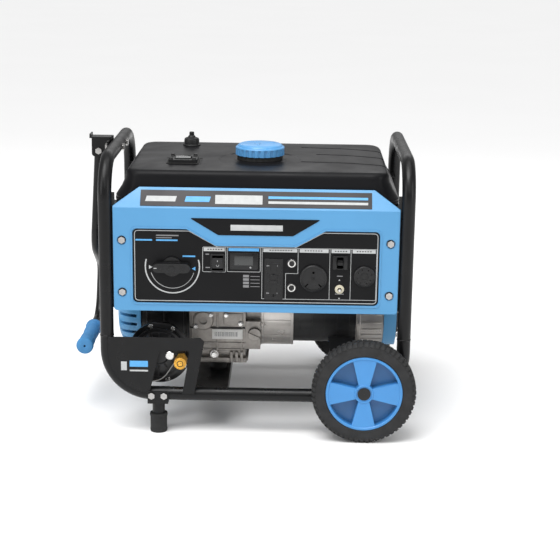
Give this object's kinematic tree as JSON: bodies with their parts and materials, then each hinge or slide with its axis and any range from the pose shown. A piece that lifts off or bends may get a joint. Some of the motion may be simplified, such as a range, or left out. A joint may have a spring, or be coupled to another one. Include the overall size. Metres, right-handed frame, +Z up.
{
  "type": "portable generator",
  "caption": "Open-frame portable generator with a blue control panel, fuel tank, engine and alternator, wheels and a folding pull handle.",
  "frame": {"origin": "on the floor under the middle of the machine's bounding box", "axes": "+X from the recoil starter to the wheels, -Y the control panel's side, +Z up"},
  "size_m": [0.7238, 0.564, 0.596],
  "materials": {
    "frame_paint": "satin black powder coat",
    "tank_paint": "gloss charcoal enamel",
    "blue_paint": "satin blue",
    "blue_plastic": "moulded blue",
    "grip_rubber": "ribbed",
    "tyre_rubber": "solid moulded",
    "black_rubber": "moulded",
    "black_plastic": "moulded",
    "gas_panel_paint": "black powder coat",
    "zinc": "zinc plated",
    "cast_aluminium": "as cast",
    "stator_steel": "black coated",
    "steel": "bare steel",
    "brass": "bright"
  },
  "bodies": {
    "frame": {"air_filter": "black_plastic", "alternator_bell": "cast_aluminium", "alternator_cover": "cast_aluminium", "alternator_end_cap": "blue_paint", "axle": "zinc", "axle_brackets": "frame_paint", "blower_housing": "black_plastic", "cap_leash": "black_rubber", "carburettor": "cast_aluminium", "control_box": "black_plastic", "crankcase": "cast_aluminium", "crankcase_cover": "cast_aluminium", "cross_members": "frame_paint", "cylinder": "cast_aluminium", "faceplate": "black_plastic", "foot_brackets": "frame_paint", "frame_bolts": "zinc", "front_rail": "frame_paint", "fuel_gauge": "black_plastic", "fuel_tank": "tank_paint", "gas_inlet": "brass", "gas_panel": "gas_panel_paint", "gfci_receptacle": "black_plastic", "handle_bracket": "frame_paint", "left_hoop": "frame_paint", "muffler": "steel", "panel_bezel": "blue_paint", "rear_rail": "frame_paint", "recoil_cover": "blue_paint", "regulator": "black_plastic", "right_hoop": "frame_paint", "round_receptacle": "black_plastic", "rubber_feet": "black_rubber", "stator": "stator_steel", "tank_brackets": "frame_paint", "twist_receptacle": "black_plastic", "vent_valve": "black_plastic", "vibration_mounts": "black_rubber"},
    "front_wheel": {"front_tyre": "tyre_rubber", "front_rim": "blue_plastic"},
    "rear_wheel": {"rear_tyre": "tyre_rubber", "rear_rim": "blue_plastic"},
    "handle": {"handle_tube": "frame_paint", "handle_grip": "grip_rubber"},
    "cap_base": {"cap_seal": "black_rubber"},
    "cap_top": {"fuel_cap": "blue_plastic"},
    "recoil_pull": {"recoil_grip": "black_plastic"},
    "crank": {"crankshaft": "steel", "flywheel": "stator_steel", "rotor": "stator_steel"},
    "selector": {"selector_knob": "black_plastic"},
    "switch": {"engine_switch": "black_plastic"},
    "test": {"test_button": "black_plastic"},
    "reset": {"reset_button": "black_plastic"},
    "upper_push": {"upper_breaker": "black_plastic"},
    "lower_push": {"lower_breaker": "black_plastic"},
    "main_lever": {"main_breaker_lever": "black_plastic"},
    "voltage": {"voltage_toggle": "zinc"},
    "inlet_cap": {"gas_cap": "brass"},
    "dipstick": {"oil_plug": "black_plastic"}
  },
  "joints": [
    {"name": "front_wheel_spin", "type": "hinge", "parent": "frame", "child": "front_wheel", "pos_m": [0.25391, -0.261, 0.108], "axis": [0, 1, 0], "continuous": true},
    {"name": "rear_wheel_spin", "type": "hinge", "parent": "frame", "child": "rear_wheel", "pos_m": [0.25391, 0.261, 0.108], "axis": [0, 1, 0], "continuous": true},
    {"name": "handle_swing", "type": "hinge", "parent": "frame", "child": "handle", "pos_m": [-0.31909, 0, 0.56], "axis": [0, 1, 0], "range_deg": [0, 92]},
    {"name": "cap_lift", "type": "slide", "parent": "frame", "child": "cap_base", "axis": [0, 0, 1], "range_m": [0, 0.05]},
    {"name": "cap_turn", "type": "hinge", "parent": "cap_base", "child": "cap_top", "pos_m": [0.02991, -0.05, 0.554], "axis": [0, 0, 1], "range_deg": [0, 90]},
    {"name": "recoil_slide", "type": "slide", "parent": "frame", "child": "recoil_pull", "axis": [0, 1, 0], "range_m": [0, 0.5], "stiffness_N_per_m": 30, "springref_m": -0.1},
    {"name": "crank_spin", "type": "hinge", "parent": "frame", "child": "crank", "pos_m": [0, 0, 0.22], "axis": [1, 0, 0], "continuous": true},
    {"name": "selector_turn", "type": "hinge", "parent": "frame", "child": "selector", "pos_m": [-0.14359, -0.225, 0.3585], "axis": [0, -1, 0], "range_deg": [0, 180]},
    {"name": "switch_tilt", "type": "hinge", "parent": "frame", "child": "switch", "pos_m": [-0.05059, -0.2225, 0.367], "axis": [-1, 0, 0], "range_deg": [0, 22]},
    {"name": "test_push", "type": "slide", "parent": "frame", "child": "test", "axis": [0, 1, 0], "range_m": [0, 0.0015], "stiffness_N_per_m": 600, "springref_m": -0.001},
    {"name": "reset_push", "type": "slide", "parent": "frame", "child": "reset", "axis": [0, 1, 0], "range_m": [0, 0.0015], "stiffness_N_per_m": 600, "springref_m": -0.001},
    {"name": "upper_breaker_push", "type": "slide", "parent": "frame", "child": "upper_push", "axis": [0, 1, 0], "range_m": [0, 0.003], "stiffness_N_per_m": 400, "springref_m": -0.002},
    {"name": "lower_breaker_push", "type": "slide", "parent": "frame", "child": "lower_push", "axis": [0, 1, 0], "range_m": [0, 0.003], "stiffness_N_per_m": 400, "springref_m": -0.002},
    {"name": "main_lever_tilt", "type": "hinge", "parent": "frame", "child": "main_lever", "pos_m": [0.19991, -0.2225, 0.372], "axis": [1, 0, 0], "range_deg": [-25, 25]},
    {"name": "voltage_tilt", "type": "hinge", "parent": "frame", "child": "voltage", "pos_m": [0.19991, -0.225, 0.315], "axis": [1, 0, 0], "range_deg": [-12, 12]},
    {"name": "inlet_cap_turn", "type": "hinge", "parent": "frame", "child": "inlet_cap", "pos_m": [-0.12859, -0.185, 0.148], "axis": [0, -1, 0], "range_deg": [0, 300]},
    {"name": "dipstick_turn", "type": "hinge", "parent": "frame", "child": "dipstick", "pos_m": [0.02341, -0.112, 0.1825], "axis": [0, -1, 0], "range_deg": [0, 350]}
  ]
}
